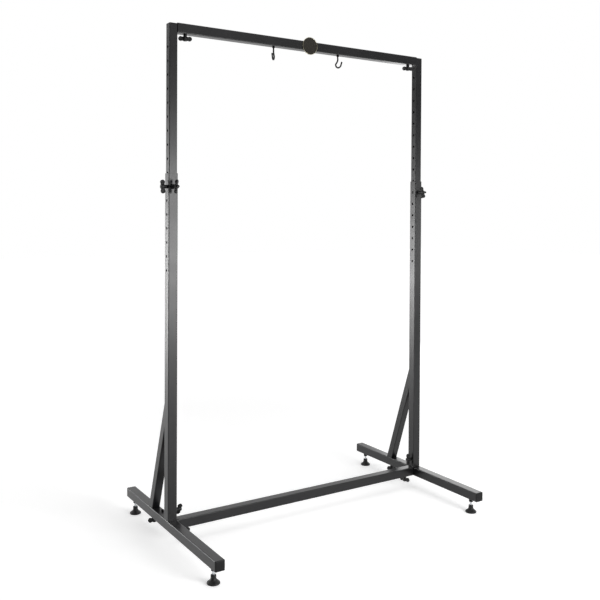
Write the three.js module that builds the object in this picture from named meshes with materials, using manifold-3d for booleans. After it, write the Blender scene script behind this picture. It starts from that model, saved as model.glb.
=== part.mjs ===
// Knock-down gong stand of square steel tube, in millimetres, +Z up.
// The origin is on the floor under the middle of the stand.
// X runs along the crossbar, the badge faces -Y and the braces are behind, at +Y.

import * as THREE from 'three';
import { mergeVertices } from 'three/addons/utils/BufferGeometryUtils.js';
import Module from 'manifold-3d';

const wasm = await Module();
wasm.setup();

// Tubes. The inner tube slides in the bore of the outer one.
const tubeSize = 40;
const tubeWall = 2;
const tubeCorner = 3;
const slideGap = 0.5;
const innerWall = 2;
const innerCorner = 2.5;
const tubeBore = tubeSize - 2 * tubeWall;
const innerSize = tubeBore - 2 * slideGap;
const innerBore = innerSize - 2 * innerWall;

// The frame's main lengths.
const postSpacing = 1300;
const legLength = 888;
const legClearance = 64;
const lowerPostLength = 1412;
const upperPostLength = 1038;
const barDrop = 13.5;
const stubLength = 85;
const seatGap = 0.3;

// The rows of height holes, and the pins that lock the height.
const holePitch = 56.5;
const pinDrop = 54.5;
const lowerHoleCount = 7;
const upperHolesBelowPin = 6;
const upperEndInset = 42.5;
const pinDiameter = 10;
const pinClearance = 0.5;

// The braces behind the posts.
const braceFootReach = 172;
const braceTopRise = 436;
const braceNutThickness = 8;

// Wing screws: a moulded head with two ears on a steel screw.
const screwDiameter = 8;
const screwClearance = 0.5;
const screwBite = 6;
const wingSpan = 56;
const wingHeight = 27;
const earRadius = 9.5;
const earThickness = 8;
const hubDiameter = 18;
const neckDiameter = 15;
const wingEdge = 2;
const clampTail = 14;
const clampTailDiameter = 9;
const clampBossDiameter = 20;
const clampBossHeight = 12;
const barKnobInset = 58;
const postKnobRise = 36;

// How far each wing screw's ears are turned about its screw.
const braceScrewRoll = 0;
const barScrewRoll = THREE.MathUtils.degToRad(14);
const crossbarScrewRoll = { left: 0, right: THREE.MathUtils.degToRad(80) };
const postScrewRoll = { left: THREE.MathUtils.degToRad(33), right: 0 };
const pinRoll = { left: THREE.MathUtils.degToRad(8), right: 0 };
const clampScrewRoll = { left: THREE.MathUtils.degToRad(84), right: THREE.MathUtils.degToRad(109) };

// Plastic end caps.
const capHead = 4.5;
const capEdge = 2;
const capPlugDepth = 14;
const capPlugGap = 0.3;

// Levelling feet.
const footInset = 50;
const padDiameter = 50;
const padRim = 5;
const padNeckDiameter = 21;
const padHeight = 33;
const padSocketDepth = 15;
const padEdge = 2;
const spindleDiameter = 10;
const spindleReach = 24;
const footNutAcross = 17;
const footNutHeight = 16;

// Hooks under the top bar.
const hookSpacing = 344;
const hookWire = 7;
const hookRadius = 15;
const hookDrop = 60.5;
const hookShankDrop = 22.5;
const hookShankReach = 14;
const hookTipLength = 14;
const hookOffset = 4;
const hookNutAcross = 11;
const hookNutHeight = 6;
const hookNeckShares = { across: 0.4, up: 0.54 };
const hookLoopStart = THREE.MathUtils.degToRad(172);
const hookLoopEnd = THREE.MathUtils.degToRad(348);
const hookTipFlare = THREE.MathUtils.degToRad(18);
const leftHookTurn = THREE.MathUtils.degToRad(-136);
const rightHookTurn = THREE.MathUtils.degToRad(-70);

// The round badge near the middle of the top bar, and the one small screw on the left leg.
const badgeOffset = 5;
const badgeDiameter = 78;
const badgeThickness = 3;
const badgeRim = 2;
const badgeRecess = 0.8;
const legScrewDiameter = 6;
const legScrewHeadDiameter = 11;
const legScrewHeadHeight = 9;
const legScrewDepth = 8;
const legScrewEdge = 2;
const legScrewInset = 6;
const legScrewReach = 97;

// Sides of round pieces and holes, and the overrun of every cut.
const holeSides = 8;
const roundSides = 12;
const padSides = 18;
const wireSides = 8;
const cornerSteps = 2;
const hookSteps = 28;
const hookLoopPoints = 8;
const overrun = 5;

// Heights that follow from the lengths.
const legTop = legClearance + tubeSize;
const legMiddle = legClearance + tubeSize / 2;
const pinHeight = legTop + lowerPostLength - pinDrop;
const upperHoleCount = Math.floor((upperPostLength - 2 * upperEndInset) / holePitch) + 1;
const upperBottom = pinHeight - upperHolesBelowPin * holePitch - upperEndInset;
const upperTop = upperBottom + upperPostLength;
const barMiddle = upperTop - barDrop;
const barBottom = barMiddle - tubeSize / 2;
const barLength = postSpacing - innerSize;
const crossbarLength = postSpacing - tubeSize;
const braceAngle = Math.atan2(braceFootReach - tubeSize / 2, braceTopRise);
const earCentre = wingHeight - earRadius;
const stubScrewLength = tubeWall + slideGap + innerWall + screwBite;
const quarter = Math.PI / 2;

// Finishes.
const finish = (color, roughness, metalness) =>
  new THREE.MeshStandardMaterial({ color, roughness, metalness });
const powderCoat = finish(0x1f1f21, 0.42, 0.1);
const blackPlastic = finish(0x121213, 0.5, 0);
const blackSteel = finish(0x18181a, 0.45, 0.5);
const chromedSteel = finish(0xb9bcc0, 0.2, 1);
const badgeBrown = finish(0x2b211a, 0.4, 0.1);

// Booleans. A geometry without normals and with shared points becomes a solid, and comes back.
function toSolid(geometry) {
  const bare = geometry.clone();
  bare.deleteAttribute('normal');
  bare.deleteAttribute('uv');
  const merged = mergeVertices(bare);
  return new wasm.Manifold(new wasm.Mesh({
    numProp: 3,
    vertProperties: new Float32Array(merged.attributes.position.array),
    triVerts: new Uint32Array(merged.index.array),
  }));
}

function toGeometry(solid) {
  const mesh = solid.getMesh();
  const geometry = new THREE.BufferGeometry();
  geometry.setAttribute('position', new THREE.BufferAttribute(mesh.vertProperties, 3));
  geometry.setIndex(new THREE.BufferAttribute(mesh.triVerts, 1));
  geometry.computeVertexNormals();
  return geometry;
}

function cut(geometry, cutters) {
  let solid = toSolid(geometry);
  for (const cutter of cutters) {
    solid = solid.subtract(toSolid(cutter));
  }
  return toGeometry(solid);
}

function join(geometries) {
  let solid = toSolid(geometries[0]);
  for (const other of geometries.slice(1)) {
    solid = solid.add(toSolid(other));
  }
  return toGeometry(solid);
}

function common(first, second) {
  return toGeometry(toSolid(first).intersect(toSolid(second)));
}

// A square outline with round corners.
function roundedSquare(Outline, width, height, corner) {
  const x = width / 2;
  const y = height / 2;
  const outline = new Outline();
  outline.moveTo(x, -y + corner);
  outline.lineTo(x, y - corner);
  outline.absarc(x - corner, y - corner, corner, 0, quarter);
  outline.lineTo(-x + corner, y);
  outline.absarc(-x + corner, y - corner, corner, quarter, 2 * quarter);
  outline.lineTo(-x, -y + corner);
  outline.absarc(-x + corner, -y + corner, corner, 2 * quarter, 3 * quarter);
  outline.lineTo(x - corner, -y);
  outline.absarc(x - corner, -y + corner, corner, 3 * quarter, 4 * quarter);
  return outline;
}

function extrude(shape, depth) {
  return new THREE.ExtrudeGeometry(shape, { depth, bevelEnabled: false, curveSegments: cornerSteps });
}

// A square tube from z = 0 to its length.
function squareTube(size, wall, corner, length) {
  const shape = roundedSquare(THREE.Shape, size, size, corner);
  const bore = size - 2 * wall;
  shape.holes.push(roundedSquare(THREE.Path, bore, bore, Math.max(corner - wall, wall / 2)));
  return extrude(shape, length);
}

// A round rod from z = 0 to its length.
function rod(diameter, length, sides = holeSides) {
  const geometry = new THREE.CylinderGeometry(diameter / 2, diameter / 2, length, sides);
  geometry.rotateX(quarter);
  geometry.translate(0, 0, length / 2);
  return geometry;
}

// A solid of revolution about Z from pairs of radius and height.
function turned(profile, sides = roundSides) {
  const geometry = new THREE.LatheGeometry(profile.map(([r, z]) => new THREE.Vector2(r, z)), sides);
  geometry.rotateX(quarter);
  return geometry;
}

// A drill through both X walls of a post.
function crossDrill(diameter, z) {
  const length = tubeSize + 2 * overrun;
  const geometry = rod(diameter, length);
  geometry.translate(0, 0, -length / 2);
  geometry.rotateY(quarter);
  geometry.translate(0, 0, z);
  return geometry;
}

function hexNut(across, height, bore) {
  const corner = across / Math.sqrt(3);
  const shape = new THREE.Shape();
  for (let i = 0; i < 6; i += 1) {
    const angle = (i * Math.PI) / 3;
    const x = corner * Math.cos(angle);
    const y = corner * Math.sin(angle);
    if (i === 0) shape.moveTo(x, y);
    else shape.lineTo(x, y);
  }
  shape.closePath();
  const body = extrude(shape, height);
  const drill = rod(bore, height + 2 * overrun);
  drill.translate(0, 0, -overrun);
  return cut(body, [drill]);
}

const stand = new THREE.Group();
stand.name = 'gong_stand';
const base = new THREE.Group();
const upperFrame = new THREE.Group();
stand.add(base, upperFrame);

function piece(parent, name, geometry, material, x = 0, y = 0, z = 0) {
  const mesh = new THREE.Mesh(geometry, material);
  mesh.name = name;
  mesh.position.set(x, y, z);
  parent.add(mesh);
  return mesh;
}

// Legs: a tube along Y with holes for the two feet, the brace screw and, on the left, a small screw.
function leg(side) {
  const tube = squareTube(tubeSize, tubeWall, tubeCorner, legLength);
  tube.translate(0, 0, -legLength / 2);
  tube.rotateX(quarter);
  const cutters = [];
  for (const end of [-1, 1]) {
    const drill = rod(spindleDiameter + 2 * screwClearance, tubeSize / 2);
    drill.translate(0, end * (legLength / 2 - footInset), -tubeSize / 2 - overrun);
    cutters.push(drill);
  }
  const braceDrill = rod(screwDiameter + 2 * screwClearance, tubeSize + 2 * overrun);
  braceDrill.translate(0, braceFootReach, -tubeSize / 2 - overrun);
  cutters.push(braceDrill);
  if (side < 0) {
    const drill = rod(legScrewDiameter + 2 * screwClearance, tubeSize / 2);
    drill.translate(legScrewInset, legScrewReach, overrun);
    cutters.push(drill);
  }
  return cut(tube, cutters);
}

// An end cap lies in the XY plane: its head above z = 0, its hollow plug below.
function endCap(size, wall, corner) {
  const head = new THREE.ExtrudeGeometry(
    roundedSquare(THREE.Shape, size - 2 * capEdge, size - 2 * capEdge, corner),
    {
      depth: capHead - capEdge,
      bevelEnabled: true,
      bevelThickness: capEdge,
      bevelSize: capEdge,
      bevelSegments: 1,
      curveSegments: cornerSteps,
    },
  );
  const keep = new THREE.BoxGeometry(size + 2 * overrun, size + 2 * overrun, capHead + overrun);
  keep.translate(0, 0, (capHead + overrun) / 2);
  const plugSize = size - 2 * wall - 2 * capPlugGap;
  const plug = squareTube(plugSize, wall, wall, capPlugDepth + capEdge);
  plug.translate(0, 0, -capPlugDepth);
  return join([common(head, keep), plug]);
}

// A wing screw stands on z = 0 with its ears along X. Its screw goes down, its tail up.
function wingScrew(diameter, length, tail = 0) {
  const sleeve = turned([
    [0, 0],
    [neckDiameter / 2, 0],
    [neckDiameter / 2, earCentre - earRadius],
    [hubDiameter / 2, earCentre],
    [hubDiameter / 2, wingHeight - wingEdge],
    [hubDiameter / 2 - wingEdge, wingHeight],
    [0, wingHeight],
  ]);
  const reach = wingSpan / 2 - earRadius;
  const outline = new THREE.Shape();
  outline.absarc(reach, 0, earRadius, -quarter, quarter);
  outline.lineTo(0, earRadius - wingEdge);
  outline.absarc(-reach, 0, earRadius, quarter, 3 * quarter);
  outline.lineTo(0, wingEdge - earRadius);
  outline.closePath();
  const wings = new THREE.ExtrudeGeometry(outline, {
    depth: earThickness,
    bevelEnabled: false,
    curveSegments: roundSides / 2,
  });
  wings.translate(0, 0, -earThickness / 2);
  wings.rotateX(quarter);
  wings.translate(0, 0, earCentre);
  const shank = rod(diameter, length + earCentre);
  shank.translate(0, 0, -length);
  const solids = [sleeve, wings, shank];
  if (tail > 0) {
    const end = rod(clampTailDiameter, tail + wingEdge);
    end.translate(0, 0, wingHeight - wingEdge);
    solids.push(end);
  }
  return join(solids);
}

// Places a wing screw with its head along a direction and its ears turned by a roll.
function placeWing(parent, name, geometry, seat, direction, roll) {
  const mesh = piece(parent, name, geometry, blackPlastic, ...seat);
  const up = new THREE.Vector3(0, 0, 1);
  mesh.quaternion.setFromUnitVectors(up, new THREE.Vector3(...direction));
  mesh.rotateZ(roll);
  return mesh;
}

const stubScrew = wingScrew(screwDiameter, stubScrewLength);
const legScrewThroughLength = tubeSize + seatGap + braceNutThickness;
const braceScrew = wingScrew(screwDiameter, legScrewThroughLength);
const heightPin = wingScrew(pinDiameter, tubeSize);
const clampScrew = wingScrew(
  screwDiameter,
  clampBossHeight + tubeWall + slideGap - seatGap,
  clampTail,
);

const legCap = endCap(tubeSize, tubeWall, tubeCorner);
const postCap = endCap(innerSize, innerWall, innerCorner);

// A stub is a short inner tube with a threaded hole for its wing screw.
function stub(holeAt) {
  const tube = squareTube(innerSize, innerWall, innerCorner, stubLength);
  const drill = rod(screwDiameter + 2 * screwClearance, innerSize);
  drill.rotateY(quarter);
  drill.translate(0, 0, holeAt);
  return cut(tube, [drill]);
}

function lowerPost(side) {
  const tube = squareTube(tubeSize, tubeWall, tubeCorner, lowerPostLength);
  const cutters = [];
  const pinAt = lowerPostLength - pinDrop;
  for (let i = 0; i < lowerHoleCount; i += 1) {
    cutters.push(crossDrill(pinDiameter + 2 * pinClearance, pinAt - i * holePitch));
  }
  const clampDrill = rod(screwDiameter + 2 * screwClearance, tubeSize / 2);
  clampDrill.rotateX(quarter);
  clampDrill.translate(0, -overrun, pinAt);
  const footDrill = rod(screwDiameter + 2 * screwClearance, tubeSize / 2);
  footDrill.rotateY(-side * quarter);
  footDrill.translate(-side * overrun, 0, postKnobRise);
  return cut(tube, [...cutters, clampDrill, footDrill]);
}

function upperPost() {
  const tube = squareTube(innerSize, innerWall, innerCorner, upperPostLength);
  const cutters = [];
  for (let i = 0; i < upperHoleCount; i += 1) {
    cutters.push(crossDrill(pinDiameter + 2 * pinClearance, upperEndInset + i * holePitch));
  }
  return cut(tube, cutters);
}

// A bar along X, open at its ends, with a hole under each end for its wing screw.
function crossTube(length, extraCutters = []) {
  const tube = squareTube(tubeSize, tubeWall, tubeCorner, length);
  tube.translate(0, 0, -length / 2);
  tube.rotateY(quarter);
  const cutters = [];
  for (const side of [-1, 1]) {
    const drill = rod(screwDiameter + 2 * screwClearance, tubeSize / 2);
    drill.translate(side * (postSpacing / 2 - barKnobInset), 0, -tubeSize / 2 - overrun);
    cutters.push(drill);
  }
  return cut(tube, [...cutters, ...extraCutters]);
}

// The brace leans from the leg's top to the post's back. Its ends are cut flat to both.
function slanted(geometry) {
  geometry.rotateX(braceAngle);
  geometry.translate(0, braceFootReach, 0);
  return geometry;
}

function braceSpace() {
  const depth = 2 * braceFootReach;
  const space = new THREE.BoxGeometry(tubeSize, depth, 2 * braceTopRise);
  space.translate(0, tubeSize / 2 + seatGap + depth / 2, seatGap + braceTopRise);
  return space;
}

function brace() {
  const length = braceTopRise / Math.cos(braceAngle) + 2 * tubeSize;
  const tube = squareTube(innerSize, innerWall, innerCorner, length + 2 * tubeSize);
  tube.translate(0, 0, -tubeSize);
  return common(slanted(tube), braceSpace());
}

function braceNut() {
  const size = innerBore - 2 * seatGap;
  const block = extrude(roundedSquare(THREE.Shape, size, size, innerWall), 2 * tubeSize);
  block.translate(0, 0, -tubeSize);
  const slab = new THREE.BoxGeometry(tubeSize, 2 * tubeSize, braceNutThickness);
  slab.translate(0, braceFootReach, seatGap + braceNutThickness / 2);
  const drill = rod(screwDiameter + 2 * screwClearance, braceNutThickness + 2 * overrun);
  drill.translate(0, braceFootReach, -overrun);
  return cut(common(slanted(block), slab), [drill]);
}

// Levelling foot: a pad with a socket, a spindle and a nut under the leg. The pad stands on z = 0.
const padGeometry = turned([
  [0, 0],
  [padDiameter / 2 - padEdge, 0],
  [padDiameter / 2, padEdge],
  [padDiameter / 2, padRim],
  [padDiameter / 2 - padRim, 2 * padRim],
  [padNeckDiameter / 2 + padRim / 2, 3 * padRim],
  [padNeckDiameter / 2, 4 * padRim],
  [padNeckDiameter / 2, padHeight - padEdge],
  [padNeckDiameter / 2 - padEdge, padHeight],
  [spindleDiameter / 2 + seatGap, padHeight],
  [spindleDiameter / 2 + seatGap, padHeight - padSocketDepth],
  [0, padHeight - padSocketDepth],
], padSides);
const spindleBottom = padHeight - padSocketDepth;
const spindleGeometry = rod(spindleDiameter, legClearance + spindleReach - spindleBottom, roundSides);
const footNut = hexNut(footNutAcross, footNutHeight, spindleDiameter + 2 * screwClearance);

for (const side of [-1, 1]) {
  const name = side < 0 ? 'left' : 'right';
  const x = side * (postSpacing / 2);

  piece(base, `leg_${name}`, leg(side), powderCoat, x, 0, legMiddle);
  for (const end of [-1, 1]) {
    const place = end < 0 ? 'front' : 'back';
    const y = end * (legLength / 2 - footInset);
    const cap = piece(base, `leg_cap_${place}_${name}`, legCap, blackPlastic);
    cap.position.set(x, (end * legLength) / 2, legMiddle);
    cap.rotation.x = -end * quarter;
    piece(base, `foot_pad_${place}_${name}`, padGeometry, blackPlastic, x, y, 0);
    piece(base, `foot_spindle_${place}_${name}`, spindleGeometry, chromedSteel, x, y, spindleBottom);
    piece(base, `foot_nut_${place}_${name}`, footNut, blackSteel, x, y, legClearance - footNutHeight);
  }

  // The post stands over an upright stub on the leg, the crossbar over a level one.
  const postStub = piece(base, `post_stub_${name}`, stub(postKnobRise), powderCoat, x, 0, legTop);
  postStub.rotation.z = side < 0 ? 0 : 2 * quarter;
  const crossStub = piece(
    base,
    `crossbar_stub_${name}`,
    stub(barKnobInset - tubeSize / 2),
    powderCoat,
    side * (postSpacing / 2 - tubeSize / 2),
    0,
    legMiddle,
  );
  crossStub.rotation.set(0, -side * quarter, side < 0 ? 0 : 2 * quarter, 'YZX');
  piece(base, `lower_post_${name}`, lowerPost(side), powderCoat, x, 0, legTop);
  piece(base, `brace_${name}`, brace(), powderCoat, x, 0, legTop);
  piece(base, `brace_nut_${name}`, braceNut(), blackSteel, x, 0, legTop);

  const boss = rod(clampBossDiameter, clampBossHeight, roundSides);
  const bossDrill = rod(screwDiameter + 2 * screwClearance, clampBossHeight + 2 * overrun);
  bossDrill.translate(0, 0, -overrun);
  const bossMesh = piece(base, `clamp_boss_${name}`, cut(boss, [bossDrill]), blackSteel);
  bossMesh.position.set(x, -tubeSize / 2, pinHeight);
  bossMesh.rotation.x = quarter;

  placeWing(
    base,
    `brace_screw_${name}`,
    braceScrew,
    [x, braceFootReach, legClearance],
    [0, 0, -1],
    braceScrewRoll,
  );
  placeWing(
    base,
    `post_screw_${name}`,
    stubScrew,
    [x - (side * tubeSize) / 2, 0, legTop + postKnobRise],
    [-side, 0, 0],
    postScrewRoll[name],
  );
  placeWing(
    base,
    `crossbar_screw_${name}`,
    stubScrew,
    [x - side * barKnobInset, 0, legClearance],
    [0, 0, -1],
    crossbarScrewRoll[name],
  );
  placeWing(
    base,
    `height_pin_${name}`,
    heightPin,
    [x + (side * tubeSize) / 2, 0, pinHeight],
    [side, 0, 0],
    pinRoll[name],
  );
  placeWing(
    base,
    `clamp_screw_${name}`,
    clampScrew,
    [x, -tubeSize / 2 - clampBossHeight, pinHeight],
    [0, -1, 0],
    clampScrewRoll[name],
  );

  // The upper post carries a level stub for the top bar near its top.
  piece(upperFrame, `upper_post_${name}`, upperPost(), powderCoat, x, 0, upperBottom);
  piece(upperFrame, `post_cap_${name}`, postCap, blackPlastic, x, 0, upperTop);
  const barStub = piece(
    upperFrame,
    `bar_stub_${name}`,
    stub(barKnobInset - innerSize / 2),
    powderCoat,
    side * (postSpacing / 2 - innerSize / 2),
    0,
    barMiddle,
  );
  barStub.rotation.set(0, -side * quarter, side < 0 ? 0 : 2 * quarter, 'YZX');
  placeWing(
    upperFrame,
    `bar_screw_${name}`,
    stubScrew,
    [x - side * barKnobInset, 0, barBottom],
    [0, 0, -1],
    barScrewRoll,
  );
}

piece(base, 'crossbar', crossTube(crossbarLength), powderCoat, 0, 0, legMiddle);

const hookDrills = [-1, 1].map((side) => {
  const drill = rod(hookWire + 2 * screwClearance, tubeSize / 2);
  drill.translate((side * hookSpacing) / 2, 0, -tubeSize / 2 - overrun);
  return drill;
});
piece(upperFrame, 'top_bar', crossTube(barLength, hookDrills), powderCoat, 0, 0, barMiddle);

// A hook hangs from z = 0, its shank on the axis and its mouth towards +X. The shank goes straight
// down, bends over to the back of a round loop, and the loop ends in a tip that flares outwards.
class HookLine extends THREE.Curve {
  constructor() {
    super();
    const centreZ = hookWire / 2 + hookRadius - hookDrop;
    const loopPoint = (angle) => [
      hookOffset + hookRadius * Math.cos(angle),
      centreZ + hookRadius * Math.sin(angle),
    ];
    const points = [
      [0, hookShankReach],
      [0, 0],
      [0, -hookShankDrop / 2],
      [0, -hookShankDrop],
      [-hookNeckShares.across * hookRadius, centreZ + hookNeckShares.up * hookRadius],
    ];
    for (let i = 0; i <= hookLoopPoints; i += 1) {
      points.push(loopPoint(THREE.MathUtils.lerp(hookLoopStart, hookLoopEnd, i / hookLoopPoints)));
    }
    const [endX, endZ] = loopPoint(hookLoopEnd);
    points.push([
      endX + hookTipLength * Math.sin(hookTipFlare),
      endZ + hookTipLength * Math.cos(hookTipFlare),
    ]);
    this.line = new THREE.CatmullRomCurve3(points.map(([px, pz]) => new THREE.Vector3(px, 0, pz)));
  }

  getPoint(t, target = new THREE.Vector3()) {
    return this.line.getPoint(t, target);
  }
}

function wireSection(diameter, sides) {
  const shape = new THREE.Shape();
  for (let i = 0; i < sides; i += 1) {
    const angle = (2 * Math.PI * i) / sides;
    const x = (diameter / 2) * Math.cos(angle);
    const y = (diameter / 2) * Math.sin(angle);
    if (i === 0) shape.moveTo(x, y);
    else shape.lineTo(x, y);
  }
  shape.closePath();
  return shape;
}

const hookGeometry = new THREE.ExtrudeGeometry(wireSection(hookWire, wireSides), {
  steps: hookSteps,
  extrudePath: new HookLine(),
  bevelEnabled: false,
});
const hookNut = hexNut(hookNutAcross, hookNutHeight, hookWire + 2 * screwClearance);

for (const side of [-1, 1]) {
  const name = side < 0 ? 'left' : 'right';
  const x = (side * hookSpacing) / 2;
  const hook = piece(upperFrame, `hook_${name}`, hookGeometry, blackSteel, x, 0, barBottom);
  hook.rotation.z = side < 0 ? leftHookTurn : rightHookTurn;
  piece(upperFrame, `hook_lock_nut_${name}`, hookNut, blackSteel, x, 0, barBottom - hookNutHeight);
  piece(upperFrame, `hook_inner_nut_${name}`, hookNut, blackSteel, x, 0, barBottom + tubeWall);
}

const badge = turned([
  [0, 0],
  [badgeDiameter / 2, 0],
  [badgeDiameter / 2, badgeThickness - badgeRecess],
  [badgeDiameter / 2 - badgeRecess, badgeThickness],
  [badgeDiameter / 2 - badgeRim, badgeThickness],
  [badgeDiameter / 2 - badgeRim - badgeRecess, badgeThickness - badgeRecess],
  [0, badgeThickness - badgeRecess],
], 2 * roundSides);
const badgeMesh = piece(upperFrame, 'badge', badge, badgeBrown, badgeOffset, -tubeSize / 2, barMiddle);
badgeMesh.rotation.x = quarter;

const legScrew = turned([
  [0, -legScrewDepth],
  [legScrewDiameter / 2, -legScrewDepth],
  [legScrewDiameter / 2, 0],
  [legScrewHeadDiameter / 2, 0],
  [legScrewHeadDiameter / 2, legScrewHeadHeight - legScrewEdge],
  [legScrewHeadDiameter / 2 - legScrewEdge, legScrewHeadHeight],
  [0, legScrewHeadHeight],
]);
piece(base, 'leg_screw_left', legScrew, blackSteel, legScrewInset - postSpacing / 2, legScrewReach, legTop);

export default stand;
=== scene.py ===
"""Looks of the gong stand: a knock-down frame of black square tube on four levelling feet.

Metres, +Z up, the floor at z = 0. Left is -X and the badge faces -Y.
"""

import math

import bpy
from mathutils import Matrix, Vector


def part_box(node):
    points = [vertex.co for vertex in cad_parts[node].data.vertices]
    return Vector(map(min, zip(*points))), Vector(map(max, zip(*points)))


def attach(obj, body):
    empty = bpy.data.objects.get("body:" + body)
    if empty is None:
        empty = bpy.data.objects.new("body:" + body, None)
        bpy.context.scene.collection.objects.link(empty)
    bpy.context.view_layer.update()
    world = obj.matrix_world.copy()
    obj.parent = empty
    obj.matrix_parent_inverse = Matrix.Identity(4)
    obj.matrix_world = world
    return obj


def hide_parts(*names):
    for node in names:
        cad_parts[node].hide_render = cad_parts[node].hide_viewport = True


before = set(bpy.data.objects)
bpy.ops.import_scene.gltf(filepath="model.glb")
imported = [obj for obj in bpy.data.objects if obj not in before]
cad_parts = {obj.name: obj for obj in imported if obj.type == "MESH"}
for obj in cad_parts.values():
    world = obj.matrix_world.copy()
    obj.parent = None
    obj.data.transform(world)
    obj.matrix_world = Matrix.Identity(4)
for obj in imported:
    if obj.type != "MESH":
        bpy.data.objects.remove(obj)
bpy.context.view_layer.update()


# Legs. Each is a length of 40 mm square welded steel tube with 2 mm walls, lying front to back.
# It is drilled for its two feet, the brace screw and, on the left, one small screw, and is then
# powder coated, so the coat rounds the rim of every hole.
QUARTER = math.pi / 2
ALONG = {"X": (0, QUARTER, 0), "Y": (-QUARTER, 0, 0), "Z": (0, 0, 0)}
corner_segments = 6
drill_sides = 36


def linear(code):
    """A colour as Blender stores it, from its sRGB hex value."""
    parts = [int(code[i : i + 2], 16) / 255 for i in (1, 3, 5)]
    return (*(c / 12.92 if c <= 0.04045 else ((c + 0.055) / 1.055) ** 2.4 for c in parts), 1)


def add_node(tree, kind, inputs=None, **settings):
    """Adds a node with its settings, and links or sets its sockets."""
    made = tree.nodes.new(kind)
    for name, value in settings.items():
        setattr(made, name, value)
    for socket, value in (inputs or {}).items():
        if isinstance(value, bpy.types.NodeSocket):
            tree.links.new(value, made.inputs[socket])
        else:
            made.inputs[socket].default_value = value
    return made


def new_material(name, metallic, roughness):
    """A material with its shader's constants, and its tree, shader and object coordinates."""
    material = bpy.data.materials.new(name)
    material.use_nodes = True
    tree = material.node_tree
    shader = tree.nodes["Principled BSDF"]
    shader.inputs["Metallic"].default_value = metallic
    shader.inputs["Roughness"].default_value = roughness
    place = add_node(tree, "ShaderNodeTexCoord").outputs["Object"]
    return material, tree, shader, place


def apply_all(piece):
    """Applies the piece's modifiers in order."""
    bpy.context.view_layer.objects.active = piece
    for modifier in list(piece.modifiers):
        bpy.ops.object.modifier_apply(modifier=modifier.name)


def draw_tube(name, size, wall, corner, start, turn, run):
    """Draws a tube's end as a square, rounds it, insets the wall and pulls it along its run."""
    bpy.ops.object.select_all(action="DESELECT")
    bpy.ops.mesh.primitive_plane_add(size=size, location=start, rotation=turn)
    bpy.ops.object.transform_apply(location=True, rotation=True, scale=True)
    tube = bpy.context.object
    tube.name = tube.data.name = name
    bpy.ops.object.mode_set(mode="EDIT")
    bpy.ops.mesh.select_all(action="SELECT")
    bpy.ops.mesh.bevel(offset=corner, segments=corner_segments, affect="VERTICES")
    bpy.ops.mesh.select_all(action="SELECT")
    bpy.ops.mesh.inset(thickness=wall, use_even_offset=True)
    bpy.ops.mesh.delete(type="FACE")
    bpy.ops.mesh.select_all(action="SELECT")
    bpy.ops.mesh.extrude_region_move(TRANSFORM_OT_translate={"value": run})
    bpy.ops.mesh.select_all(action="SELECT")
    bpy.ops.mesh.normals_make_consistent(inside=False)
    bpy.ops.object.mode_set(mode="OBJECT")
    return tube


def middle_of(node):
    """The middle of a CAD node's box."""
    low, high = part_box(node)
    return (low + high) / 2


def tube_over(name, node, wall, corner):
    """A straight tube that fills the box of a CAD node."""
    low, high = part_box(node)
    size = high - low
    axis = max(range(3), key=lambda i: size[i])
    start = middle_of(node)
    start[axis] = low[axis]
    run = Vector((0, 0, 0))
    run[axis] = size[axis]
    return draw_tube(name, size[axis - 1], wall, corner, start, ALONG["XYZ"[axis]], run)


def combine(piece, tool, operation):
    """Cuts, joins or crosses a piece with another solid, which is used up."""
    modifier = piece.modifiers.new("combine", "BOOLEAN")
    modifier.operation = operation
    modifier.solver = "EXACT"
    modifier.object = tool
    apply_all(piece)
    bpy.data.objects.remove(tool)


def drill(piece, holes):
    """Drills round holes, each given by its centre, direction, diameter and depth."""
    bits = []
    for centre, along, diameter, depth in holes:
        bpy.ops.object.select_all(action="DESELECT")
        bpy.ops.mesh.primitive_cylinder_add(
            vertices=drill_sides,
            radius=diameter / 2,
            depth=depth,
            location=centre,
            rotation=ALONG[along],
        )
        bits.append(bpy.context.object)
    for bit in bits:
        bit.select_set(True)
    bpy.ops.object.join()
    combine(piece, bpy.context.object, "DIFFERENCE")


def soften(piece, width, segments=2, limit=50):
    """Rounds every sharp edge, then smooths the shading and keeps the flat faces flat."""
    bpy.ops.object.select_all(action="DESELECT")
    piece.select_set(True)
    bpy.context.view_layer.objects.active = piece
    rounding = piece.modifiers.new("rounding", "BEVEL")
    rounding.width = width
    rounding.segments = segments
    rounding.limit_method = "ANGLE"
    rounding.angle_limit = math.radians(limit)
    apply_all(piece)
    bpy.ops.object.shade_smooth_by_angle(angle=math.radians(limit))
    shading = piece.modifiers.new("shading", "WEIGHTED_NORMAL")
    shading.keep_sharp = True
    apply_all(piece)


def fit(piece, body, nodes, material):
    """The piece moves with its body, stands for its CAD nodes and takes its finish."""
    piece.data.materials.clear()
    piece.data.materials.append(material)
    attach(piece, body)
    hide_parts(*nodes)


# Polyester powder coat, semi-gloss black, sprayed and baked. Seen close it has the fine dimples
# of orange peel, about 1.6 mm across and hundredths of a millimetre deep. Its tone and gloss
# drift a little along the tube.
drift_size = 0.16
peel_size = 0.0016
peel_depth = 0.00006
powder_coat, tree, shader, place = new_material("powder_coated_steel", 0.0, 0.32)
shader.inputs["IOR"].default_value = 1.41
drift = add_node(
    tree, "ShaderNodeTexNoise", {"Vector": place, "Scale": 1 / drift_size, "Detail": 3.0}
)
tone = add_node(
    tree,
    "ShaderNodeMix",
    {0: drift.outputs["Fac"], 6: linear("#0a0a0b"), 7: linear("#131315")},
    data_type="RGBA",
)
gloss = add_node(
    tree,
    "ShaderNodeMapRange",
    {
        "Value": drift.outputs["Fac"],
        "From Min": 0.3,
        "From Max": 0.7,
        "To Min": 0.29,
        "To Max": 0.35,
    },
)
peel = add_node(
    tree, "ShaderNodeTexNoise", {"Vector": place, "Scale": 1 / peel_size, "Detail": 2.0}
)
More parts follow.
